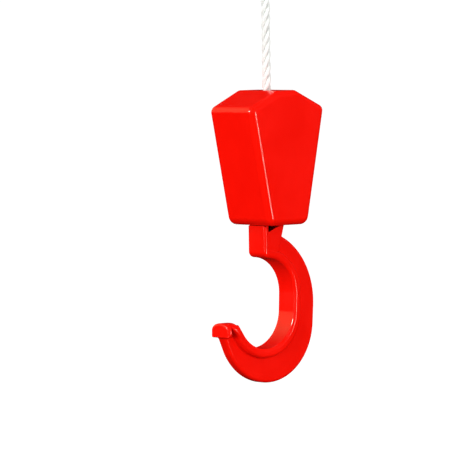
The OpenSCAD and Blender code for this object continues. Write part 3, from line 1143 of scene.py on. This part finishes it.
FLOOR_DROP = 450.0
FLOOR_HALF = 9000.0
FLOOR_BOUNCE = (0.05, 0.05, 0.05)
FLOOR_GLOW = 0.5
floor_z = cad_bounds[0][2] / MM - FLOOR_DROP
floor = make("floor", [(-FLOOR_HALF, -FLOOR_HALF, floor_z), (FLOOR_HALF, -FLOOR_HALF, floor_z),
                       (FLOOR_HALF, FLOOR_HALF, floor_z), (-FLOOR_HALF, FLOOR_HALF, floor_z)], [(0, 1, 2, 3)])
floor.visible_glossy = False


def floor_material():
    """Pale to the camera, dark to the light that bounces off it, and clear from below."""
    m = Nodes(bpy.data.materials.new("pale_floor"))
    tone = m.mix(m.noise(m.place(), 6, 4), (0.93, 0.93, 0.93), (0.96, 0.96, 0.96))
    seen = m.add("ShaderNodeLightPath").outputs["Is Camera Ray"]
    matt = m.add("ShaderNodeBsdfDiffuse")
    m.wire(m.mix(seen, FLOOR_BOUNCE, tone), matt.inputs["Color"])
    glow = m.add("ShaderNodeEmission")
    m.wire(m.math("MULTIPLY", seen, FLOOR_GLOW), glow.inputs["Strength"])
    both = m.add("ShaderNodeAddShader")
    m.wire(matt.outputs[0], both.inputs[0])
    m.wire(glow.outputs[0], both.inputs[1])
    one_sided = m.add("ShaderNodeMixShader")
    m.wire(m.add("ShaderNodeNewGeometry").outputs["Backfacing"], one_sided.inputs[0])
    m.wire(both.outputs[0], one_sided.inputs[1])
    m.wire(m.add("ShaderNodeBsdfTransparent").outputs[0], one_sided.inputs[2])
    m.wire(one_sided.outputs[0], m.out.inputs["Surface"])
    return m.owner


floor.data.materials.append(floor_material())


# ---- Light ----

AMBIENT = 0.60
BACKDROP = 1.05
GLOSSY_FLOOR = 0.01
WINDOW_GLOW = 1.0
WINDOW_AZIMUTH = math.radians(-155)
WINDOW_COLOUR = (1.0, 0.84, 0.44)
AIM_DROP = 48


def light_world():
    """Even light all round. A large window at the left rear shows in glossy surfaces only."""
    w = Nodes(bpy.data.worlds.new("studio"), "ShaderNodeOutputWorld")
    bpy.context.scene.world = w.owner
    heading = w.add("ShaderNodeTexCoord").outputs["Generated"]
    toward = w.add("ShaderNodeVectorMath", operation="DOT_PRODUCT")
    w.wire(heading, toward.inputs[0])
    w.wire((math.sin(WINDOW_AZIMUTH), -math.cos(WINDOW_AZIMUTH), 0), toward.inputs[1])
    height = w.add("ShaderNodeSeparateXYZ")
    w.wire(heading, height.inputs[0])
    beside = w.span(toward.outputs["Value"], 0.52, 0.80, 0.0, WINDOW_GLOW, "SMOOTHSTEP")
    above = w.span(height.outputs["Z"], 0.0, 0.06, 0.0, 1.0, "SMOOTHSTEP")
    below = w.span(height.outputs["Z"], 0.55, 0.80, 1.0, 0.0, "SMOOTHSTEP")
    window = w.math("ADD", w.math("MULTIPLY", beside, w.math("MULTIPLY", above, below)), GLOSSY_FLOOR)
    path = w.add("ShaderNodeLightPath")
    seen = w.span(path.outputs["Is Camera Ray"], 0, 1, AMBIENT, BACKDROP)
    shine = path.outputs["Is Glossy Ray"]
    lit = w.math("ADD", w.math("MULTIPLY", shine, window),
                 w.math("MULTIPLY", w.math("SUBTRACT", 1.0, shine), seen))
    background = w.add("ShaderNodeBackground")
    w.wire(w.mix(shine, (1, 1, 1), WINDOW_COLOUR), background.inputs["Color"])
    w.wire(lit, background.inputs["Strength"])
    w.wire(background.outputs[0], w.out.inputs["Surface"])


def softbox(name, azimuth, elevation, distance, size, radiance, mirrored=True, lights=True):
    """Area light aimed at the object. Azimuth 0 is the closed front, positive is to its right."""
    a, e = math.radians(azimuth), math.radians(elevation)
    aim = Vector((0, 0, (TOP - AIM_DROP) * MM))
    at = aim + Vector((math.sin(a) * math.cos(e), -math.cos(a) * math.cos(e), math.sin(e))) * distance
    light = bpy.data.lights.new(name, "AREA")
    light.shape = "RECTANGLE"
    light.size, light.size_y = size
    light.energy = radiance * math.pi * size[0] * size[1]
    obj = link(bpy.data.objects.new(name, light))
    obj.location = at
    obj.rotation_euler = (aim - at).to_track_quat("-Z", "Y").to_euler()
    obj.visible_glossy = mirrored
    obj.visible_diffuse = lights


light_world()
softbox("key strip", 10, 0, 1.6, (0.12, 0.9), 34)
softbox("left spot", -106, 27, 1.5, (0.3, 0.3), 110, lights=False)
softbox("front fill", 10, 0, 1.8, (0.9, 0.9), 2.5, mirrored=False)
softbox("left fill", -88, 0, 1.8, (1.2, 0.5), 13.0, mirrored=False)
softbox("top fill", -80, 60, 1.8, (0.9, 0.9), 4.0, mirrored=False)
softbox("rear fill", 140, 25, 1.8, (0.9, 0.9), 2.2, mirrored=False)


# ---- Camera: long lens, 42 degrees to the left of the closed front ----

VIEW_AZIMUTH = math.radians(42)
VIEW_PITCH = math.radians(3.1)
VIEW_ROLL = math.radians(0.79)
VIEW_LEFT = 0.013608
VIEW_DOWN = 0.044131
VIEW_DISTANCE = 1.307689
LENS = 320
SENSOR = 36

right = Vector((math.cos(VIEW_AZIMUTH), -math.sin(VIEW_AZIMUTH), 0))
level = Vector((math.sin(VIEW_AZIMUTH), math.cos(VIEW_AZIMUTH), 0))
forward = level * math.cos(VIEW_PITCH) - Vector((0, 0, math.sin(VIEW_PITCH)))
up = right.cross(forward)
turn = Matrix.Rotation(VIEW_ROLL, 3, forward)
right, up = turn @ right, turn @ up
block_top = Vector((0, 0, TOP * MM))
eye = block_top - right * VIEW_LEFT - up * VIEW_DOWN - forward * VIEW_DISTANCE
camera_data = bpy.data.cameras.new("camera")
camera_data.lens = LENS
camera_data.sensor_width = SENSOR
camera_data.clip_start = 0.05
camera_data.clip_end = 100
camera = link(bpy.data.objects.new("camera", camera_data))
camera.matrix_world = Matrix((
    (right.x, up.x, -forward.x, eye.x),
    (right.y, up.y, -forward.y, eye.y),
    (right.z, up.z, -forward.z, eye.z),
    (0, 0, 0, 1),
))
bpy.context.scene.camera = camera
bpy.context.scene.view_settings.view_transform = "Standard"
